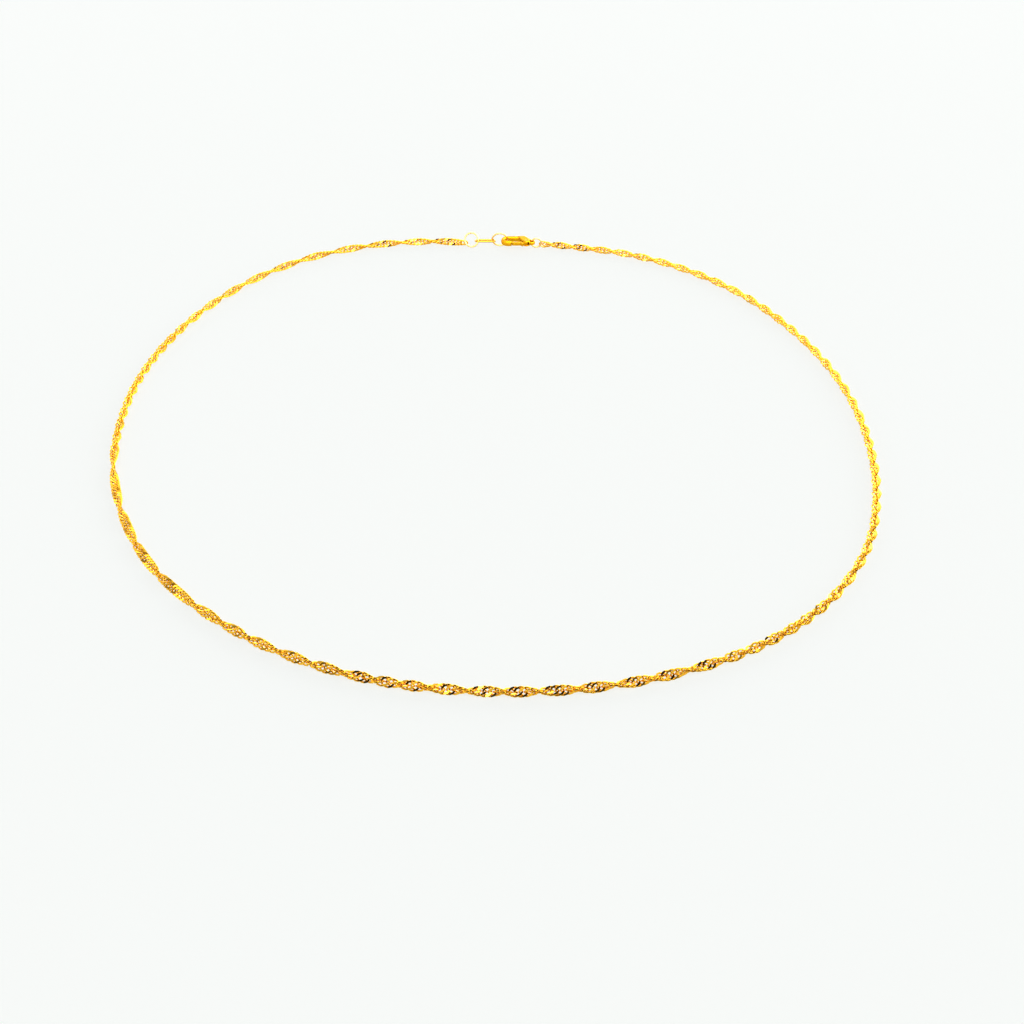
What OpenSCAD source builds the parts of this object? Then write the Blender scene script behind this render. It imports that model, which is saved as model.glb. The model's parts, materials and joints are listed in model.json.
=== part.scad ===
// Disco chain: a fine twisted curb necklace closed by a lobster clasp, lying in a loop on a flat surface.
// Millimetres, +Z up, origin on the surface under the middle of the loop, clasp at +Y.

/* [Chain] */
// Width of the twisted ribbon of links at its widest
chain_w = 1.7; // [1.5:0.1:1.9]

/* [Jump rings] */
// Wire of the jump rings and of the connector link
ring_wire = 0.4; // [0.35:0.05:0.4]
// Outer diameter of the ring at the chain's left end
end_ring_d = 3.6; // [3.4:0.1:3.8]
// Outer diameter of the ring that the claw hooks
catch_ring_d = 4; // [3.9:0.1:4.2]
// Outer diameter of the ring at the clasp's tail
tail_ring_d = 2.8; // [2.7:0.1:3]

/* [Connector link] */
// Outer length of the oval link
connector_l = 5.1; // [5:0.1:5.2]
// Outer width of the oval link
connector_w = 1.8; // [1.7:0.1:1.9]

/* [Clasp] */
// Length from the hook's bend to the end of the tail eye
clasp_l = 8.1; // [8:0.1:8.4]
// Width across the hook
clasp_w = 3.3; // [3.2:0.1:3.4]
// Thickness of hook and cheeks
clasp_t = 1.3; // [1.2:0.05:1.4]
// Width of the hook's wire, seen from above
hook_w = 0.85; // [0.8:0.05:0.9]
// Thickness of the lever
lever_t = 0.7; // [0.6:0.05:0.7]
// Diameter of the rivet that the lever turns on
pin_d = 0.5; // [0.4:0.05:0.5]

/* [Hidden] */
gold = "#e8b43a";
deep_gold = "#d9962a";
$fn = 48;

// Clearances: between loose pieces, round the rivet in the lever, and either side of the lever in its slot
gap = 0.1;
pin_play = 0.03;
slot_play = 0.05;

// Route of the chain's centre line seen from above, columns [x, y], from the end ring by the left side
// and the front to the tail ring, a point about every 15 mm
ROUTE = [
    [-7.4, 69.8], [-15, 70.5], [-27.9, 68.8], [-41.7, 63], [-53, 53.2], [-61.3, 40.8], [-66.8, 27],
    [-69.7, 12.2], [-69.7, -2.7], [-67.2, -17.5], [-61.8, -31.5], [-53.8, -44.2], [-43, -54.6],
    [-30.5, -62.7], [-16.5, -68.1], [-1.7, -70.4], [13.3, -70.1], [28, -67.1], [41.8, -61.2],
    [53.5, -52.1], [62.3, -40], [67.4, -26], [69.8, -11], [69.8, 3.8], [67.2, 18.6], [62, 32.7],
    [54.5, 45.6], [44, 56.4], [31, 64.1], [16, 68.3], [11.7, 69]
];
tube_rings = 80;
tube_sides = 8;

// Height of the chain's centre line, so that the widest part touches the surface
chain_z = chain_w / 2;

// Places of the rings, columns [x, y, lean], where lean turns the ring up from flat about the X axis
END_RING_AT = [-5.5, 69.7, 65];
CATCH_RING_AT = [1.3, 69.3, 105];
TAIL_RING_AT = [10, 68.7, 100];
CONNECTOR_AT = [-2.2, 69.5, 1.5];
connector_lean = -10;

// The clasp lies flat on the two rings whose wire passes under it, so it is lifted off the surface by that
// wire; its frame has X from hook to tail and Y across, with the hook's back at +Y and the lever at -Y
clasp_lift = 2 * ring_wire;
CLASP_AT = [1.6, 69.4, clasp_lift + clasp_t / 2];
bend_r = (clasp_w - hook_w) / 2;
bend_x = clasp_w / 2;
tip_l = 0.85;
lap_w = hook_w / 2;
back_l = 3.2;
eye_r = 0.85;
eye_hole_r = 0.5;
eye_t = 0.8;
EYE_AT = [clasp_l - eye_r, -0.7];
PIN_AT = [6, -0.75];
boss_r = clasp_w / 2 + PIN_AT[1];

// Slot that the lever swings in, between the two cheeks
slot_t = lever_t + 2 * slot_play;
slot_x = bend_x + 2.2;
slot_end = PIN_AT[0] + 0.65;
slot_back = 0.5;

// Lever: half width of its arm, radius of its barrel, and the point where the arm leaves the barrel
arm_r = 0.32;
arm_y = arm_r - clasp_w / 2;
barrel_r = 0.55;
ELBOW_AT = [PIN_AT[0] - 1.2, arm_y + 0.1];
NUB_AT = [PIN_AT[0] - 0.95, arm_y - 0.55];
nub_r = 0.22;
finger_l = 1;

// A point of the smooth curve through four route points, at t from 0 to 1 between the middle two
function spline(a, b, c, d, t) =
    0.5 * (2 * b + (c - a) * t + (2 * a - 5 * b + 4 * c - d) * t * t + (3 * b - a - 3 * c + d) * t * t * t);

function route_pt(i) = ROUTE[max(0, min(len(ROUTE) - 1, i))];

// Place on the route after u spans of it
function along(u) =
    let (i = min(floor(u), len(ROUTE) - 2))
    spline(route_pt(i - 1), route_pt(i), route_pt(i + 1), route_pt(i + 2), u - i);

CENTRES = [for (i = [0:tube_rings - 1]) along(i * (len(ROUTE) - 1) / (tube_rings - 1))];

function unit(v) = v / norm(v);

function heading(pts, i) = unit(pts[min(len(pts) - 1, i + 1)] - pts[max(0, i - 1)]);

// Ring of points round the centre line at place i
function tube_ring(pts, i, r, sides) =
    let (h = heading(pts, i), across = [-h[1], h[0]])
    [for (s = [0:sides - 1])
        let (a = 360 * s / sides)
        [each pts[i] + across * r * cos(a), chain_z + r * sin(a)]];

module sweep_tube(pts, r, sides) {
    n = len(pts);
    walls = [
        for (i = [0:n - 2])
            for (s = [0:sides - 1])
                let (t = (s + 1) % sides)
                [i * sides + s, (i + 1) * sides + s, (i + 1) * sides + t, i * sides + t]
    ];
    first_cap = [for (s = [0:sides - 1]) s];
    last_cap = [for (s = [0:sides - 1]) n * sides - 1 - s];
    polyhedron(
        points = [for (i = [0:n - 1]) each tube_ring(pts, i, r, sides)],
        faces = [first_cap, each walls, last_cap],
        convexity = 10
    );
}

// Outline of a flattened round bar, width w across and thickness t up
module bar_section(w, t) {
    soft = 0.85;
    polygon([
        for (a = [0:22.5:337.5])
            [w / 2 * sign(cos(a)) * pow(abs(cos(a)), soft), t / 2 * sign(sin(a)) * pow(abs(sin(a)), soft)]
    ]);
}

// Disc with rounded rim, flat on both faces
module soft_disc(r, t) {
    rim = 0.22;
    rotate_extrude()
        polygon([
            [0, -t / 2],
            [r - rim, -t / 2],
            [r - rim * 0.3, -t / 2 + rim * 0.3],
            [r, -t / 2 + rim],
            [r, t / 2 - rim],
            [r - rim * 0.3, t / 2 - rim * 0.3],
            [r - rim, t / 2],
            [0, t / 2]
        ]);
}

module torus(outer_d, wire) {
    rotate_extrude()
        translate([(outer_d - wire) / 2, 0])
            circle(d = wire, $fn = 24);
}

// Closed jump ring that stands on the surface and leans
module jump_ring(at, outer_d) {
    rise = (outer_d - ring_wire) / 2 * sin(at[2]) + ring_wire / 2;
    translate([at[0], at[1], rise])
        rotate([at[2], 0, 0])
            torus(outer_d, ring_wire);
}

module chain() {
    color(gold)
        sweep_tube(CENTRES, chain_w / 2, tube_sides);
}

module end_ring() {
    color(gold)
        jump_ring(END_RING_AT, end_ring_d);
}

module catch_ring() {
    color(gold)
        jump_ring(CATCH_RING_AT, catch_ring_d);
}

module tail_ring() {
    color(gold)
        jump_ring(TAIL_RING_AT, tail_ring_d);
}

// Oval link: two straight sides and two half-round ends of the same wire
module connector_link() {
    end_r = (connector_w - ring_wire) / 2;
    half_l = (connector_l - connector_w) / 2;
    color(deep_gold)
        translate(CONNECTOR_AT)
            rotate([connector_lean, 0, 0])
                for (side = [-1, 1]) {
                    translate([side * half_l, 0, 0])
                        rotate([0, 0, side * 90 + 180])
                            rotate_extrude(angle = 180)
                                translate([end_r, 0])
                                    circle(d = ring_wire, $fn = 24);
                    translate([-half_l, side * end_r, 0])
                        rotate([0, 90, 0])
                            cylinder(d = ring_wire, h = 2 * half_l, $fn = 24);
                }
}

// Round bend of the hook with its straight tip, the tip halved to let the lever's finger lie inside it
module hook() {
    difference() {
        union() {
            translate([bend_x, 0, 0])
                rotate([0, 0, 90])
                    rotate_extrude(angle = 180)
                        translate([bend_r, 0])
                            bar_section(hook_w, clasp_t);
            translate([bend_x, -bend_r, 0])
                rotate([90, 0, 90])
                    linear_extrude(tip_l)
                        bar_section(hook_w, clasp_t);
        }
        translate([bend_x + tip_l / 2, -bend_r, -clasp_t])
            cube([tip_l, lap_w + gap, 2 * clasp_t]);
    }
    translate([bend_x, bend_r, 0])
        rotate([90, 0, 90])
            linear_extrude(back_l)
                bar_section(hook_w, clasp_t);
}

// Body from the back by a round shoulder to the boss on the rivet, drawn in towards the tail eye
module cheeks() {
    shoulder_r = 0.75;
    neck_r = 0.6;
    hull() {
        translate([bend_x + back_l - hook_w / 2, bend_r, 0])
            soft_disc(hook_w / 2, clasp_t, $fn = 32);
        translate([bend_x + back_l + hook_w / 2, clasp_w / 2 - shoulder_r, 0])
            soft_disc(shoulder_r, clasp_t, $fn = 32);
        translate([PIN_AT[0], PIN_AT[1], 0])
            soft_disc(boss_r, clasp_t, $fn = 32);
        translate([EYE_AT[0] - eye_r / 2, EYE_AT[1] + 0.1, 0])
            soft_disc(neck_r, clasp_t - 0.2, $fn = 32);
    }
}

module clasp_body() {
    color(gold)
        translate(CLASP_AT)
            difference() {
                union() {
                    hook();
                    cheeks();
                    translate([EYE_AT[0], EYE_AT[1], 0])
                        soft_disc(eye_r, eye_t);
                }
                translate([EYE_AT[0], EYE_AT[1], -clasp_t])
                    cylinder(r = eye_hole_r, h = 2 * clasp_t);
                translate([PIN_AT[0], PIN_AT[1], -clasp_t])
                    cylinder(d = pin_d, h = 2 * clasp_t);
                translate([slot_x, -clasp_w, -slot_t / 2])
                    cube([slot_end - slot_x, clasp_w + slot_back, slot_t]);
            }
}

module lever_disc(at, r) {
    translate([at[0], at[1], 0])
        cylinder(r = r, h = lever_t, $fn = 32);
}

// Lever: barrel on the rivet, arm along the open side, finger inside the hook's tip, thumb nub outside
module clasp_lever() {
    finger_x = bend_x + tip_l / 2 + gap / 2;
    arm_x = bend_x + tip_l + gap / 2 + arm_r;
    color(deep_gold)
        translate([CLASP_AT[0], CLASP_AT[1], CLASP_AT[2] - lever_t / 2])
            difference() {
                union() {
                    lever_disc(PIN_AT, barrel_r);
                    hull() {
                        lever_disc(PIN_AT, barrel_r - 0.05);
                        lever_disc(ELBOW_AT, arm_r + 0.1);
                    }
                    hull() {
                        lever_disc(ELBOW_AT, arm_r + 0.1);
                        lever_disc([arm_x, arm_y], arm_r);
                    }
                    hull() {
                        lever_disc(NUB_AT, nub_r);
                        lever_disc(ELBOW_AT, arm_r);
                    }
                    translate([finger_x, -bend_r + gap, 0])
                        cube([finger_l, lap_w - gap, lever_t]);
                }
                translate([PIN_AT[0], PIN_AT[1], -lever_t])
                    cylinder(r = pin_d / 2 + pin_play, h = 3 * lever_t);
            }
}

module clasp_pin() {
    color(deep_gold)
        translate([CLASP_AT[0] + PIN_AT[0], CLASP_AT[1] + PIN_AT[1], CLASP_AT[2] - clasp_t / 2])
            cylinder(d = pin_d, h = clasp_t);
}

chain();
end_ring();
connector_link();
catch_ring();
clasp_body();
clasp_lever();
clasp_pin();
tail_ring();
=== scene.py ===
import json
import math

import bmesh
import bpy
import numpy as np
from mathutils import Matrix, Vector

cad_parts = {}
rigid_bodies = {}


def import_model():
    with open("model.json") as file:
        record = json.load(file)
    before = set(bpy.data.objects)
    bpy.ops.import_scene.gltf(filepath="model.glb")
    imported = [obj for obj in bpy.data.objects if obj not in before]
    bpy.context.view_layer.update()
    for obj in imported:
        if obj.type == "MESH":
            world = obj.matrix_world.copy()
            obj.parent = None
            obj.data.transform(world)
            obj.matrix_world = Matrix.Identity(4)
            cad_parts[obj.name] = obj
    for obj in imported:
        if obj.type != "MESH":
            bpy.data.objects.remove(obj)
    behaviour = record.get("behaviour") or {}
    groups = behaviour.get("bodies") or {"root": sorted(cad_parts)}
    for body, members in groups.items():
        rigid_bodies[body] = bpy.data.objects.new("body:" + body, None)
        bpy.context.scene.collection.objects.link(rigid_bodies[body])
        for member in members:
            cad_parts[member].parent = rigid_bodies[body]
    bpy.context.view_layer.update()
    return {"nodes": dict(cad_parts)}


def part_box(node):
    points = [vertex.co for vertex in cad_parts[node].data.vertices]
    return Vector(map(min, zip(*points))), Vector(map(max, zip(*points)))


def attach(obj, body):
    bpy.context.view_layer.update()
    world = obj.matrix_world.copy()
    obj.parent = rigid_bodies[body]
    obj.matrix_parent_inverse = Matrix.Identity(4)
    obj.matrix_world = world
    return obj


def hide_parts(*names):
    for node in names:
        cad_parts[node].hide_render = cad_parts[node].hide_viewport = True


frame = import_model()

# Chain of about 580 oval links of round gold wire, each bent round the two before it and soldered
# shut. Each is a slight saddle, so the row winds itself into a right-handed spiral. Its broad sides
# are planed with a diamond while it is held flat, so each link has bright flats above and below.
LINK_LENGTH = 0.0019
LINK_WIDTH = 0.00138
LINK_WIRE = 0.00031
LINK_PITCH = 0.00074
SADDLE_PER_METRE = 400.0
CUT_HEIGHT = 0.000165
NARROWEST_FLAT = math.radians(30)
WIRE_SIDES = 6
BROAD_SIDES = (0, 3)
STATION_ANGLES = [quarter + step for quarter in (0, 90, 180, 270) for step in (0, 12, 45, 78)]


def link_station(angle):
    """Points round the wire at an angle round the oval, and whether it is cut above and below."""
    turn = math.radians(angle)
    along = math.cos(turn) * LINK_LENGTH / 2
    across = math.sin(turn) * LINK_WIDTH / 2
    centre = Vector((along, across, -SADDLE_PER_METRE * along * across))
    outward = Vector((math.cos(turn) * LINK_WIDTH, math.sin(turn) * LINK_LENGTH, 0)).normalized()
    radius = LINK_WIRE / 2
    points = []
    cut = []
    for side in (1, -1):
        lean = NARROWEST_FLAT
        reach = (CUT_HEIGHT - side * centre.z) / radius
        cut.append(reach < math.cos(lean))
        if cut[-1]:
            lean = math.acos(reach)
        for way in (1, -1):
            rim = way * side * math.sin(lean) * outward + side * math.cos(lean) * Vector((0, 0, 1))
            points.append(centre + radius * rim)
        points.append(centre - side * radius * outward)
    return points, cut


def link_mesh():
    """One link, whose cut faces are flat, sharp at their rims, and marked in attribute "cut"."""
    stations = [link_station(angle) for angle in STATION_ANGLES]
    count = len(stations)
    points = [point for ring, _ in stations for point in ring]
    faces = []
    for here in range(count):
        there = (here + 1) % count
        for side in range(WIRE_SIDES):
            beside = (side + 1) % WIRE_SIDES
            corners = ((here, side), (here, beside), (there, beside), (there, side))
            faces.append([station * WIRE_SIDES + corner for station, corner in corners])
    mesh = bpy.data.meshes.new("link")
    mesh.from_pydata(points, [], faces)
    mesh.update()
    cuts = []
    for face in mesh.polygons:
        station, side = divmod(face.index, WIRE_SIDES)
        ends = (stations[station][1], stations[(station + 1) % count][1])
        cuts.append(side in BROAD_SIDES and all(cut[BROAD_SIDES.index(side)] for cut in ends))
        face.use_smooth = not cuts[-1]
    flats = mesh.attributes.new("cut", "FLOAT", "FACE")
    flats.data.foreach_set("value", [float(cut) for cut in cuts])
    flats_beside = {key: 0 for key in mesh.edge_keys}
    for face in mesh.polygons:
        for key in face.edge_keys:
            flats_beside[key] += cuts[face.index]
    for edge in mesh.edges:
        edge.use_edge_sharp = flats_beside[edge.key] == 1
    return mesh


link = bpy.data.objects.new("link", link_mesh())
bpy.context.scene.collection.objects.link(link)

# Way of the chain, in metres as seen from above, from the end ring round by the left and the front
# to the tail ring. The chain is limp and lies on the surface by its own weight, all at one height.
ROUTE = [
    (-0.0074, 0.0698), (-0.015, 0.0705), (-0.0279, 0.0688), (-0.0417, 0.063), (-0.053, 0.0532),
    (-0.0613, 0.0408), (-0.0668, 0.027), (-0.0697, 0.0122), (-0.0697, -0.0027), (-0.0672, -0.0175),
    (-0.0618, -0.0315), (-0.0538, -0.0442), (-0.043, -0.0546), (-0.0305, -0.0627),
    (-0.0165, -0.0681), (-0.0017, -0.0704), (0.0133, -0.0701), (0.028, -0.0671), (0.0418, -0.0612),
    (0.0535, -0.0521), (0.0623, -0.04), (0.0674, -0.026), (0.0698, -0.011), (0.0698, 0.0038),
    (0.0672, 0.0186), (0.062, 0.0327), (0.0545, 0.0456), (0.044, 0.0564), (0.031, 0.0641),
    (0.016, 0.0683), (0.0117, 0.069),
]
ROUTE_STEPS = 60
CHAIN_HEIGHT = sum(corner.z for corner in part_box("chain")) / 2


def route_place(span, part):
    """Place on the smooth curve through the route's points, a part of the way along a span."""
    a, b, c, d = (Vector(ROUTE[min(max(span + i, 0), len(ROUTE) - 1)]) for i in (-1, 0, 1, 2))
    bend = (2 * a - 5 * b + 4 * c - d) * part**2 + (3 * b - a - 3 * c + d) * part**3
    place = (2 * b + (c - a) * part + bend) / 2
    return Vector((place.x, place.y, CHAIN_HEIGHT))


places = []
for span in range(len(ROUTE) - 1):
    places += [route_place(span, step / ROUTE_STEPS) for step in range(ROUTE_STEPS)]
places.append(Vector((*ROUTE[-1], CHAIN_HEIGHT)))
arcs = np.cumsum([0] + [(b - a).length for a, b in zip(places, places[1:])])

# Turns of the ribbon of links, which winds up by itself. Each mark is how far along the route, in
# metres, a broad side faces EYE, the place of a person who looks down at the front of the loop.
# From a mark to the next it turns over once, and at FLAT_LEFT it faces that way for longer.
EYE = Vector((0.0042, -0.17404, 0.12106))
FLAT_REACH = 0.0031
FLAT_TURN = math.radians(26)


def even_marks(first, spacing, count):
    """Marks of a stretch that is wound evenly."""
    return [first + spacing * turn for turn in range(count)]


LOOSE_BACK = [
    -0.01, 0.004, 0.011, 0.019, 0.0275, 0.036, 0.044, 0.052, 0.0595, 0.0665, 0.0725, 0.078,
]
TIGHT_LEFT = even_marks(0.082, 0.0039, 11)
FLAT_LEFT = [0.133, 0.144, 0.1535, 0.163]
FRONT = [
    0.1715, 0.1775, 0.1825, 0.1887, 0.194, 0.1996, 0.2034, 0.2071, 0.2121, 0.218, 0.2226,
    0.2283, 0.2334, 0.2396, 0.2446, 0.2511, 0.2555, 0.259, 0.2626, 0.2666, 0.2696, 0.2734,
]
TIGHT_RIGHT = [0.2775, 0.2822] + even_marks(0.2869, 0.00376, 10)
RIGHT = even_marks(0.3245, 0.0047, 10)
BACK_RIGHT = even_marks(0.3715, 0.005, 13)
MARKS = LOOSE_BACK + TIGHT_LEFT + FLAT_LEFT + FRONT + TIGHT_RIGHT + RIGHT + BACK_RIGHT


def facing_angle(arc):
    """Turn about the route, from lying flat, that brings a broad side to face EYE."""
    near = min(int(np.searchsorted(arcs, arc)), len(places) - 2)
    heading = (places[near + 1] - places[near]).normalized()
    across = Vector((-heading.y, heading.x, 0))
    broadside = EYE - places[near]
    return math.atan2(-broadside.dot(across), broadside.z)


turns = []
for number, arc in enumerate(MARKS):
    angle = number * math.pi + facing_angle(arc)
    if arc in FLAT_LEFT:
        turns.append((arc - FLAT_REACH, angle - FLAT_TURN))
        turns.append((arc + FLAT_REACH, angle + FLAT_TURN))
    else:
        turns.append((arc, angle))
twist = np.interp(arcs, *zip(*turns))

# The curve's own normal is level, so a tilt of a quarter turn less lays the links flat.
route_curve = bpy.data.curves.new("route", "CURVE")
route_curve.dimensions = "3D"
route_curve.twist_mode = "Z_UP"
spline = route_curve.splines.new("POLY")
spline.points.add(len(places) - 1)
spline.points.foreach_set("co", [value for place in places for value in (*place, 1)])
spline.points.foreach_set("tilt", [float(angle) - math.pi / 2 for angle in twist])
route = bpy.data.objects.new("route", route_curve)
bpy.context.scene.collection.objects.link(route)


def add_sockets(tree, way, kinds):
    """Named inputs or outputs of a node tree, each of a kind such as Float or Color."""
    for name, kind in kinds.items():
        tree.interface.new_socket(name, in_out=way, socket_type="NodeSocket" + kind)


def add_node(tree, kind, inputs=(), **settings):
    """A node whose inputs, by socket name, are each a value or another node's output.

    A socket that shares its name with another one of the node is given by its number.
    """
    made = tree.nodes.new(kind)
    for name, value in settings.items():
        setattr(made, name, value)
    for socket, value in dict(inputs).items():
        if isinstance(value, bpy.types.NodeSocket):
            tree.links.new(value, made.inputs[socket])
        else:
            made.inputs[socket].default_value = value
    return made


def add_math(tree, operation, first, second):
    """Output of a Math node, whose inputs are each a value or another node's output."""
    return add_node(tree, "ShaderNodeMath", {0: first, 1: second}, operation=operation).outputs[0]


def chain_tree():
    """Geometry Nodes tree that threads links on a route, each a bit loose and of its own tone."""
    tree = bpy.data.node_groups.new("links_on_a_route", "GeometryNodeTree")
    kinds = {"Link": "Geometry", "Route": "Object", "Links": "Int"}
    kinds.update({"Rattle": "Float", "Seed": "Int", "Gold": "Material"})
    add_sockets(tree, "INPUT", kinds)
    add_sockets(tree, "OUTPUT", {"Chain": "Geometry"})
    given = tree.nodes.new("NodeGroupInput").outputs

    line = add_node(tree, "GeometryNodeObjectInfo", {"Object": given["Route"]}).outputs["Geometry"]
    inputs = {"Curve": line, "Count": given["Links"]}
    spots = add_node(tree, "GeometryNodeCurveToPoints", inputs, mode="COUNT").outputs
    inputs = {"Primary Axis": spots["Tangent"], "Secondary Axis": spots["Normal"]}
    axes = {"primary_axis": "X", "secondary_axis": "Z"}
    laid = add_node(tree, "FunctionNodeAxesToRotation", inputs, **axes).outputs[0]

    least = add_math(tree, "MULTIPLY", given["Rattle"], -1.0)
    inputs = {"Min": least, "Max": given["Rattle"], "Seed": given["Seed"]}
    loose = add_node(tree, "FunctionNodeRandomValue", inputs, data_type="FLOAT_VECTOR").outputs[0]
    loose = add_node(tree, "FunctionNodeEulerToRotation", {"Euler": loose}).outputs[0]
    inputs = {"Rotation": laid, "Rotate By": loose}
    turned = add_node(tree, "FunctionNodeRotateRotation", inputs, rotation_space="LOCAL").outputs[0]
    inputs = {"Points": spots["Points"], "Instance": given["Link"], "Rotation": turned}
    row = add_node(tree, "GeometryNodeInstanceOnPoints", inputs).outputs[0]

    inputs = {2: 0.0, 3: 1.0, "Seed": given["Seed"]}
    tone = add_node(tree, "FunctionNodeRandomValue", inputs, data_type="FLOAT").outputs[1]
    inputs = {"Geometry": row, "Name": "tone", "Value": tone}
    kept = {"data_type": "FLOAT", "domain": "INSTANCE"}
    row = add_node(tree, "GeometryNodeStoreNamedAttribute", inputs, **kept).outputs[0]
    links = add_node(tree, "GeometryNodeRealizeInstances", {"Geometry": row}).outputs[0]
    inputs = {"Geometry": links, "Material": given["Gold"]}
    golden = add_node(tree, "GeometryNodeSetMaterial", inputs).outputs[0]
    tree.links.new(golden, tree.nodes.new("NodeGroupOutput").inputs[0])
    return tree


# Marks that work leaves on gold, on every piece here: clouds where the polish is uneven, many
# grains broad, in which hairlines of one grain show, and a lighter, smoother gold at the places
# that are cut or rubbed bright. A grain is a length in metres, and each finish has its own.
CLOUD_GRAINS = 9.0
CLOUD_DETAIL = 2.0
CLOUD_EDGES = (0.35, 0.65)
CLOUD_DULLING = 0.6
HAIR_STRETCH = (1.0, 0.12, 1.0)
HAIR_DETAIL = 3.0
HAIR_WAVES = 0.6
DEEPEST_TONE = 0.9
TONE_DULLING = 0.4
BRIGHT_POLISH = 0.6


def gold_marks():
    """Shader group that works out a gold's colour, its roughness and the height of its marks."""
    tree = bpy.data.node_groups.new("gold_marks", "ShaderNodeTree")
    kinds = {"Place": "Vector", "Gold": "Color", "Rubbed": "Color", "Bright": "Float"}
    kinds.update({"Tone": "Float", "Grain": "Float", "Polish": "Float", "Marks": "Float"})
    add_sockets(tree, "INPUT", kinds)
    add_sockets(tree, "OUTPUT", {"Color": "Color", "Roughness": "Float", "Height": "Float"})
    given = tree.nodes.new("NodeGroupInput").outputs
    result = tree.nodes.new("NodeGroupOutput").inputs

    fine = add_math(tree, "DIVIDE", 1.0, given["Grain"])
    coarse = add_math(tree, "DIVIDE", fine, CLOUD_GRAINS)
    inputs = {"Vector": given["Place"], "Scale": coarse, "Detail": CLOUD_DETAIL}
    clouds = add_node(tree, "ShaderNodeTexNoise", inputs).outputs[0]
    inputs = {"Value": clouds, "From Min": CLOUD_EDGES[0], "From Max": CLOUD_EDGES[1]}
    clouds = add_node(tree, "ShaderNodeMapRange", inputs).outputs[0]
    inputs = {0: given["Place"], 1: HAIR_STRETCH}
    drawn = add_node(tree, "ShaderNodeVectorMath", inputs, operation="MULTIPLY").outputs[0]
    inputs = {"Vector": drawn, "Scale": fine, "Detail": HAIR_DETAIL, "Distortion": HAIR_WAVES}
    hairs = add_node(tree, "ShaderNodeTexNoise", inputs).outputs[0]

    marked = add_math(tree, "MULTIPLY", clouds, given["Marks"])
    scuffed = add_math(tree, "MULTIPLY", marked, hairs)
    rubbed = add_math(tree, "MAXIMUM", given["Bright"], scuffed)
    inputs = {0: rubbed, 6: given["Gold"], 7: given["Rubbed"]}
    tint = add_node(tree, "ShaderNodeMix", inputs, data_type="RGBA").outputs[2]
    inputs = {"Value": given["Tone"], "To Min": 1.0, "To Max": DEEPEST_TONE}
    depth = add_node(tree, "ShaderNodeMapRange", inputs).outputs[0]
    tint = add_node(tree, "ShaderNodeHueSaturation", {"Value": depth, "Color": tint}).outputs[0]
    tree.links.new(tint, result["Color"])

    cloud_dulling = add_math(tree, "MULTIPLY", marked, CLOUD_DULLING)
    tone_dulling = add_math(tree, "MULTIPLY", given["Tone"], TONE_DULLING)
    dulling = add_math(tree, "ADD", cloud_dulling, tone_dulling)
    dulled = add_math(tree, "ADD", 1.0, dulling)
    brightening = add_math(tree, "MULTIPLY", given["Bright"], BRIGHT_POLISH)
    smoothing = add_math(tree, "SUBTRACT", 1.0, brightening)
    uneven = add_math(tree, "MULTIPLY", dulled, smoothing)
    tree.links.new(add_math(tree, "MULTIPLY", given["Polish"], uneven), result["Roughness"])

    unrubbed = add_math(tree, "SUBTRACT", 1.0, given["Bright"])
    relief = add_math(tree, "MULTIPLY", given["Marks"], unrubbed)
    tree.links.new(add_math(tree, "MULTIPLY", hairs, relief), result["Height"])
    return tree


GOLD_MARKS = gold_marks()
MARK_STRENGTH = 0.25
GRAINS_TO_DEPTH = 8


def gold_finish(name, gold, rubbed, grain, polish, marks, bright):
    """Material of worked gold: two colours, its marks, and the attribute of its bright places."""
    material = bpy.data.materials.new(name)
    material.use_nodes = True
    tree = material.node_tree
    worked = add_node(tree, "ShaderNodeGroup", node_tree=GOLD_MARKS)
    given = {"Gold": (*gold, 1), "Rubbed": (*rubbed, 1)}
    given.update({"Grain": grain, "Polish": polish, "Marks": marks})
    for socket, setting in given.items():
        worked.inputs[socket].default_value = setting
    place = add_node(tree, "ShaderNodeTexCoord").outputs["Object"]
    tree.links.new(place, worked.inputs["Place"])
    for socket, attribute in {"Bright": bright, "Tone": "tone"}.items():
        mask = add_node(tree, "ShaderNodeAttribute", attribute_name=attribute).outputs["Fac"]
        tree.links.new(mask, worked.inputs[socket])
    inputs = {"Strength": MARK_STRENGTH, "Distance": grain / GRAINS_TO_DEPTH}
    inputs["Height"] = worked.outputs["Height"]
    relief = add_node(tree, "ShaderNodeBump", inputs).outputs["Normal"]
    shader = tree.nodes["Principled BSDF"].inputs
    shader["Metallic"].default_value = 1
    tree.links.new(worked.outputs["Color"], shader["Base Color"])
    tree.links.new(worked.outputs["Roughness"], shader["Roughness"])
    tree.links.new(relief, shader["Normal"])
    return material


# Gold of the links, a little different in tone and polish from link to link: a soft tumbled polish
# on the round wire, and a mirror polish on the cut flats. The links are threaded on the route, each
# turned at random by up to the rattle that its neighbours leave it, and fused into one piece.
LINK_GOLD = (0.91, 0.545, 0.052)
CUT_GOLD = (0.95, 0.595, 0.062)
LINK_MARKS = {"grain": 0.00012, "polish": 0.07, "marks": 0.8, "bright": "cut"}
LINK_RATTLE = math.radians(5)
RATTLE_SEED = 7
chain_gold = gold_finish("chain_gold", LINK_GOLD, CUT_GOLD, **LINK_MARKS)
maker = link.modifiers.new("links", "NODES")
maker.node_group = chain_tree()
maker_inputs = {
    "Route": route,
    "Links": round(arcs[-1] / LINK_PITCH) + 1,
    "Rattle": LINK_RATTLE,
    "Seed": RATTLE_SEED,
    "Gold": chain_gold,
}
for socket in maker.node_group.interface.items_tree:
    if socket.name in maker_inputs:
        maker[socket.identifier] = maker_inputs[socket.name]
shapes = bpy.context.evaluated_depsgraph_get()
chain_mesh = bpy.data.meshes.new_from_object(link.evaluated_get(shapes))
link.modifiers.remove(maker)
bpy.data.objects.remove(link)
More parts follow.
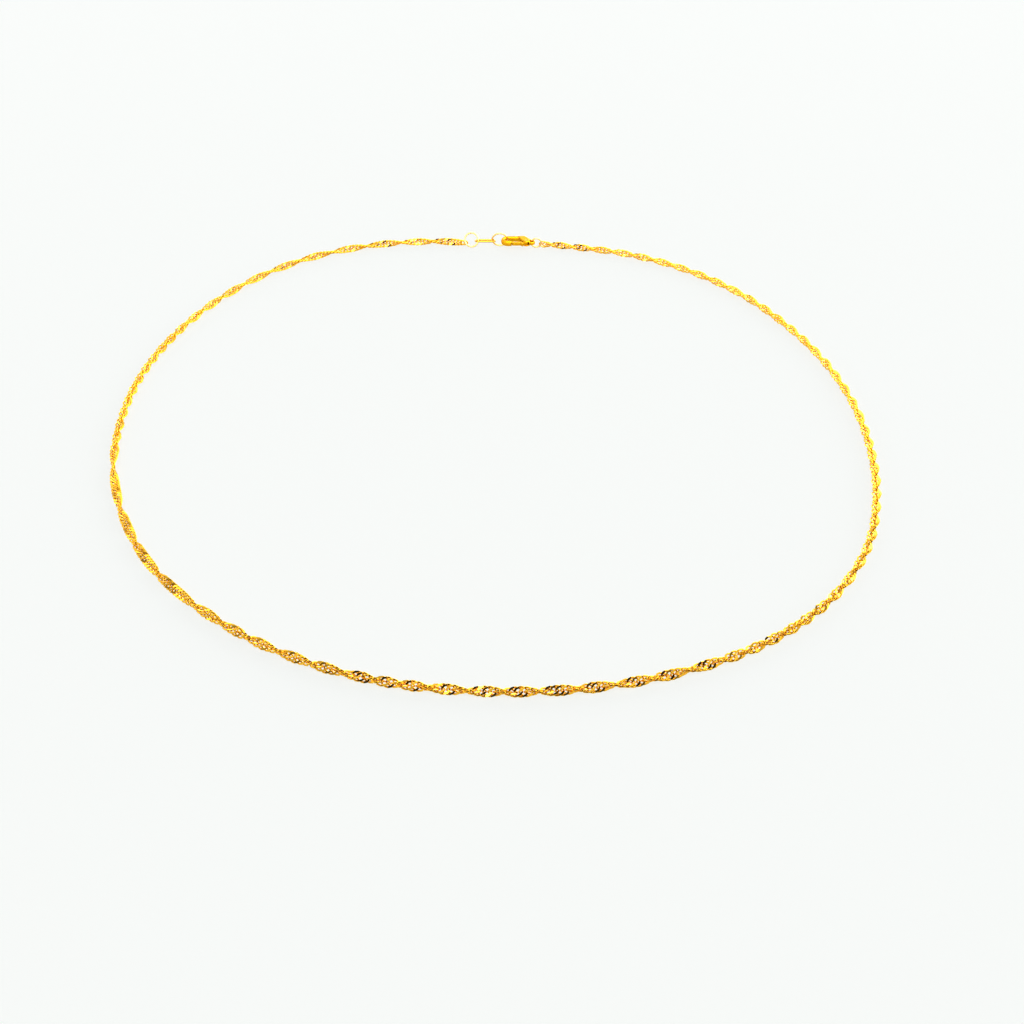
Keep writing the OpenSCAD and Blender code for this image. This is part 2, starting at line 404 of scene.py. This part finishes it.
bpy.data.objects.remove(route)
chain_links = bpy.data.objects.new("chain_links", chain_mesh)
bpy.context.scene.collection.objects.link(chain_links)
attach(chain_links, "necklace")
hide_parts("chain")

# Three jump rings of round wire, each bent round and soldered shut: one through the chain's left
# end, one that the claw hooks, and one from the clasp's tail eye to the chain's right end. They are
# of the links' gold, painted paler than the links': a painted highlight, which stands in for the
# light that washes out their thin wire.
RING_GRID = 0.00004
RING_PASSES = 3
# Painted highlight: both colours are paler than the links' gold, to stand in for light on the thin
# wire.
RING_GOLD_PAINTED_PALE = (0.9, 0.61, 0.22)
RING_RUBBED_PAINTED_PALE = (0.95, 0.68, 0.3)
RING_MARKS = {"grain": 0.00016, "polish": 0.12, "marks": 0.9, "bright": "rims"}
ring_gold = gold_finish("ring_gold", RING_GOLD_PAINTED_PALE, RING_RUBBED_PAINTED_PALE, **RING_MARKS)
SOFTEST_RIM = 1500
SHARPEST_RIM = 6000
MERGED_GRIDS = 0.02


def mark_rims(mesh):
    """Attribute "rims": 0 up to a bend of SOFTEST_RIM per metre, and 1 from SHARPEST_RIM on."""
    shape = bmesh.new()
    shape.from_mesh(mesh)
    bends = []
    for point in shape.verts:
        around = [edge.other_vert(point).co for edge in point.link_edges]
        middle = sum(around, Vector()) / len(around)
        spread = sum((place - point.co).length_squared for place in around) / len(around)
        bends.append(2 * (point.co - middle).dot(point.normal) / spread)
    shape.free()
    rims = mesh.attributes.new("rims", "FLOAT", "POINT")
    rims.data.foreach_set("value", np.interp(bends, (SOFTEST_RIM, SHARPEST_RIM), (0, 1)))


def tumbled_copy(node, name, grid, passes, gold):
    """Copy of a CAD node in an even mesh of the grid's size, its edges rounded by smoothing."""
    mesh = frame["nodes"][node].data.copy()
    mesh.transform(Matrix.Scale(1 / grid, 4))
    shape = bmesh.new()
    shape.from_mesh(mesh)
    bmesh.ops.remove_doubles(shape, verts=shape.verts, dist=MERGED_GRIDS)
    shape.to_mesh(mesh)
    shape.free()
    copy = bpy.data.objects.new(name, mesh)
    bpy.context.scene.collection.objects.link(copy)
    cells = copy.modifiers.new("cells", "REMESH")
    cells.mode = "VOXEL"
    cells.voxel_size = 1
    cells.use_smooth_shade = True
    rounding = copy.modifiers.new("rounding", "SMOOTH")
    rounding.iterations = passes
    shapes = bpy.context.evaluated_depsgraph_get()
    rounded = bpy.data.meshes.new_from_object(copy.evaluated_get(shapes))
    copy.modifiers.clear()
    rounded.transform(Matrix.Scale(grid, 4))
    rounded.name = name
    rounded.materials.clear()
    rounded.materials.append(gold)
    mark_rims(rounded)
    copy.data = rounded
    return copy


for node in ("end_ring", "catch_ring", "tail_ring"):
    ring = tumbled_copy(node, node + "_wire", RING_GRID, RING_PASSES, ring_gold)
    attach(ring, "necklace")
    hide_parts(node)

# Connector link, a long oval of the rings' wire between the end ring and the ring that the claw
# hooks. It is bent from one piece, soldered shut, and tumbled with the rings. It is of the rings'
# gold, painted as deep as the clasp's: painted shade, which stands in for the shade that falls on
# its thin wire where it is seen edge-on.
# Painted shade: these colours are darker than the rings' gold that the connector is made of, to
# stand in for shade on its wire.
CONNECTOR_GOLD_PAINTED_SHADE = (0.62, 0.35, 0.05)
CONNECTOR_RUBBED_PAINTED_SHADE = (0.72, 0.42, 0.08)
connector_gold_painted_shade = gold_finish("connector_gold_painted_shade", CONNECTOR_GOLD_PAINTED_SHADE, CONNECTOR_RUBBED_PAINTED_SHADE, **RING_MARKS)
connector = tumbled_copy("connector_link", "connector_wire", RING_GRID, RING_PASSES, connector_gold_painted_shade)
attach(connector, "necklace")
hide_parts("connector_link")

# Body of the clasp, cast in one piece with its hook, its two cheeks and its tail eye. The casting
# is tumbled, so its edges are round and rubbed lighter, and its gold is deeper than the chain's.
BODY_GRID = 0.00006
BODY_PASSES = 6
CLASP_GOLD = (0.7, 0.385, 0.008)
CLASP_RUBBED = (0.8, 0.45, 0.02)
CLASP_MARKS = {"grain": 0.00022, "polish": 0.36, "marks": 1.0, "bright": "rims"}
clasp_gold = gold_finish("clasp_gold", CLASP_GOLD, CLASP_RUBBED, **CLASP_MARKS)
clasp_body = tumbled_copy("clasp_body", "clasp_body_cast", BODY_GRID, BODY_PASSES, clasp_gold)
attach(clasp_body, "necklace")
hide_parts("clasp_body")

# Lever of the clasp, cast of the same gold in one piece: the thumb's nub, the eye for the rivet,
# and the finger that shuts the hook. It turns between the cheeks, so it rides on a body of its own.
LEVER_GRID = 0.00005
LEVER_PASSES = 5
lever = tumbled_copy("clasp_lever", "clasp_lever_cast", LEVER_GRID, LEVER_PASSES, clasp_gold)
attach(lever, "lever")
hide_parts("clasp_lever")

# Rivet that the lever turns on, a short pin of gold wire. It is pressed through both cheeks and
# filed level with them, which leaves its rims only a little round.
RIVET_GRID = 0.00003
RIVET_PASSES = 2
rivet = tumbled_copy("clasp_pin", "clasp_rivet", RIVET_GRID, RIVET_PASSES, clasp_gold)
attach(rivet, "necklace")
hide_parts("clasp_pin")

# Surface that the chain lies on: a matt white sheet that glows from below, like the glass of a
# light table, so that the shadows on it stay faint.
SURFACE_SIZE = 3
SURFACE_WHITE = (0.15, 0.1515, 0.15, 1)
SURFACE_GLOW = (0.98, 1, 0.985, 1)
SURFACE_GLOW_LEVEL = 0.825
SURFACE_ROUGHNESS = 0.9
SURFACE_SHEEN = 0.1
bpy.ops.mesh.primitive_plane_add(size=SURFACE_SIZE)
surface = bpy.context.object
surface.name = "surface"
white = bpy.data.materials.new("white_surface")
white.use_nodes = True
sheet = white.node_tree.nodes["Principled BSDF"].inputs
sheet["Base Color"].default_value = SURFACE_WHITE
sheet["Emission Color"].default_value = SURFACE_GLOW
sheet["Emission Strength"].default_value = SURFACE_GLOW_LEVEL
sheet["Roughness"].default_value = SURFACE_ROUGHNESS
sheet["Specular IOR Level"].default_value = SURFACE_SHEEN
surface.data.materials.append(white)

# Sky of a pale room: bright low down and towards the back and the right, and dark overhead. A dark
# screen stands in front, which the flats at the front of the loop show as black strokes, and one
# small lamp hangs overhead. Each of the two fades out between its core and its edge, in degrees.
ROOM_LEVEL = 2.8
ROOM_LEAN = Vector((1.6, 0.95, 0))
ROOM_FADE = 1.14
ROOM_LEAST = 0.04
SCREEN = {"toward": (0, -0.93, 0.37), "core": 25, "edge": 54, "inside": 0.06, "outside": 1.0}
LAMP = {"toward": (-0.05, -0.35, 0.94), "core": 9, "edge": 14, "inside": 7.0, "outside": 0.0}
BACKDROP_LEVEL = 0.985
world = bpy.data.worlds.new("studio")
world.use_nodes = True
bpy.context.scene.world = world
sky_tree = world.node_tree
direction = add_node(sky_tree, "ShaderNodeTexCoord").outputs["Generated"]


def share_toward(aim):
    """Dot product of the direction that is looked in and a vector."""
    inputs = {0: direction, 1: aim}
    product = add_node(sky_tree, "ShaderNodeVectorMath", inputs, operation="DOT_PRODUCT")
    return product.outputs["Value"]


def round_patch(toward, core, edge, inside, outside):
    """Level of a round patch of sky: inside up to its core, and outside from its edge on."""
    inputs = {"Value": share_toward(Vector(toward).normalized())}
    inputs.update({"From Min": math.cos(math.radians(edge)), "To Min": outside})
    inputs.update({"From Max": math.cos(math.radians(core)), "To Max": inside})
    patch = add_node(sky_tree, "ShaderNodeMapRange", inputs, interpolation_type="SMOOTHSTEP")
    return patch.outputs[0]


around = add_math(sky_tree, "ADD", share_toward(ROOM_LEAN), ROOM_LEVEL)
height = add_node(sky_tree, "ShaderNodeSeparateXYZ", {"Vector": direction}).outputs["Z"]
fading = add_math(sky_tree, "SUBTRACT", 1.0, add_math(sky_tree, "MULTIPLY", height, ROOM_FADE))
sky = add_math(sky_tree, "MAXIMUM", add_math(sky_tree, "MULTIPLY", around, fading), ROOM_LEAST)
sky = add_math(sky_tree, "MULTIPLY", sky, round_patch(**SCREEN))
sky = add_math(sky_tree, "ADD", sky, round_patch(**LAMP))
seen = add_node(sky_tree, "ShaderNodeLightPath").outputs["Is Camera Ray"]
inputs = {0: seen, 2: sky, 3: BACKDROP_LEVEL}
sky = add_node(sky_tree, "ShaderNodeMix", inputs, data_type="FLOAT").outputs[0]
sky_tree.links.new(sky, sky_tree.nodes["Background"].inputs["Color"])

# Soft panels close round the back and the sides of the loop. They light the gold alone, so that the
# surface stays even. Each is its watts, its beam in degrees, its width and height, its place, and
# the point that it faces.
PANELS = {
    "panel_behind_right": (0.135, 180, (0.22, 0.14), (0.17, 0.17, 0.1), (0.02, 0.02, 0)),
    "panel_left": (0.125, 180, (0.22, 0.14), (-0.24, 0, 0.1), (-0.03, 0, 0)),
    "panel_inside": (0.1, 180, (0.14, 0.05), (0, -0.01, 0.05), (0, 0.07, 0)),
    "panel_over_back": (0.04, 110, (0.22, 0.1), (0, 0.07, 0.12), (0, 0.07, 0)),
    "panel_over_right": (0.03, 110, (0.05, 0.1), (0.084, 0.02, 0.05), (0.07, 0.02, 0)),
    "panel_over_corner": (0.022, 110, (0.07, 0.05), (0.055, 0.075, 0.06), (0.05, 0.052, 0)),
    "panel_over_left": (0.045, 180, (0.1, 0.2), (-0.065, 0.04, 0.12), (-0.065, 0.04, 0)),
}
gold_pieces = bpy.data.collections.new("gold_pieces")
for piece in bpy.context.scene.objects:
    if piece.type == "MESH" and piece != surface:
        gold_pieces.objects.link(piece)
for name, (watts, beam, size, place, aim) in PANELS.items():
    light = bpy.data.lights.new(name, "AREA")
    light.shape = "RECTANGLE"
    light.size, light.size_y = size
    light.energy = watts
    light.spread = math.radians(beam)
    panel = bpy.data.objects.new(name, light)
    panel.location = place
    panel.rotation_euler = (Vector(aim) - Vector(place)).to_track_quat("-Z", "Y").to_euler()
    panel.visible_camera = False
    panel.light_linking.receiver_collection = gold_pieces
    bpy.context.scene.collection.objects.link(panel)

# Camera that looks down at the loop from the front, in a square picture whose focal length is 1100
# of its 1024 pixels, and a plain view that is a little stronger in contrast.
PICTURE_PIXELS = 1024
FOCAL_PIXELS = 1100
SENSOR_WIDTH = 36
CAMERA_TILT = math.radians(50)
NEAREST_SEEN = 0.01
VIEW_GAMMA = 0.83
camera_data = bpy.data.cameras.new("camera")
camera_data.sensor_width = SENSOR_WIDTH
camera_data.lens = FOCAL_PIXELS / PICTURE_PIXELS * SENSOR_WIDTH
camera_data.clip_start = NEAREST_SEEN
camera = bpy.data.objects.new("camera", camera_data)
camera.location = EYE
camera.rotation_euler = (CAMERA_TILT, 0, 0)
bpy.context.scene.collection.objects.link(camera)
bpy.context.scene.camera = camera
bpy.context.scene.view_settings.view_transform = "Standard"
bpy.context.scene.view_settings.gamma = VIEW_GAMMA
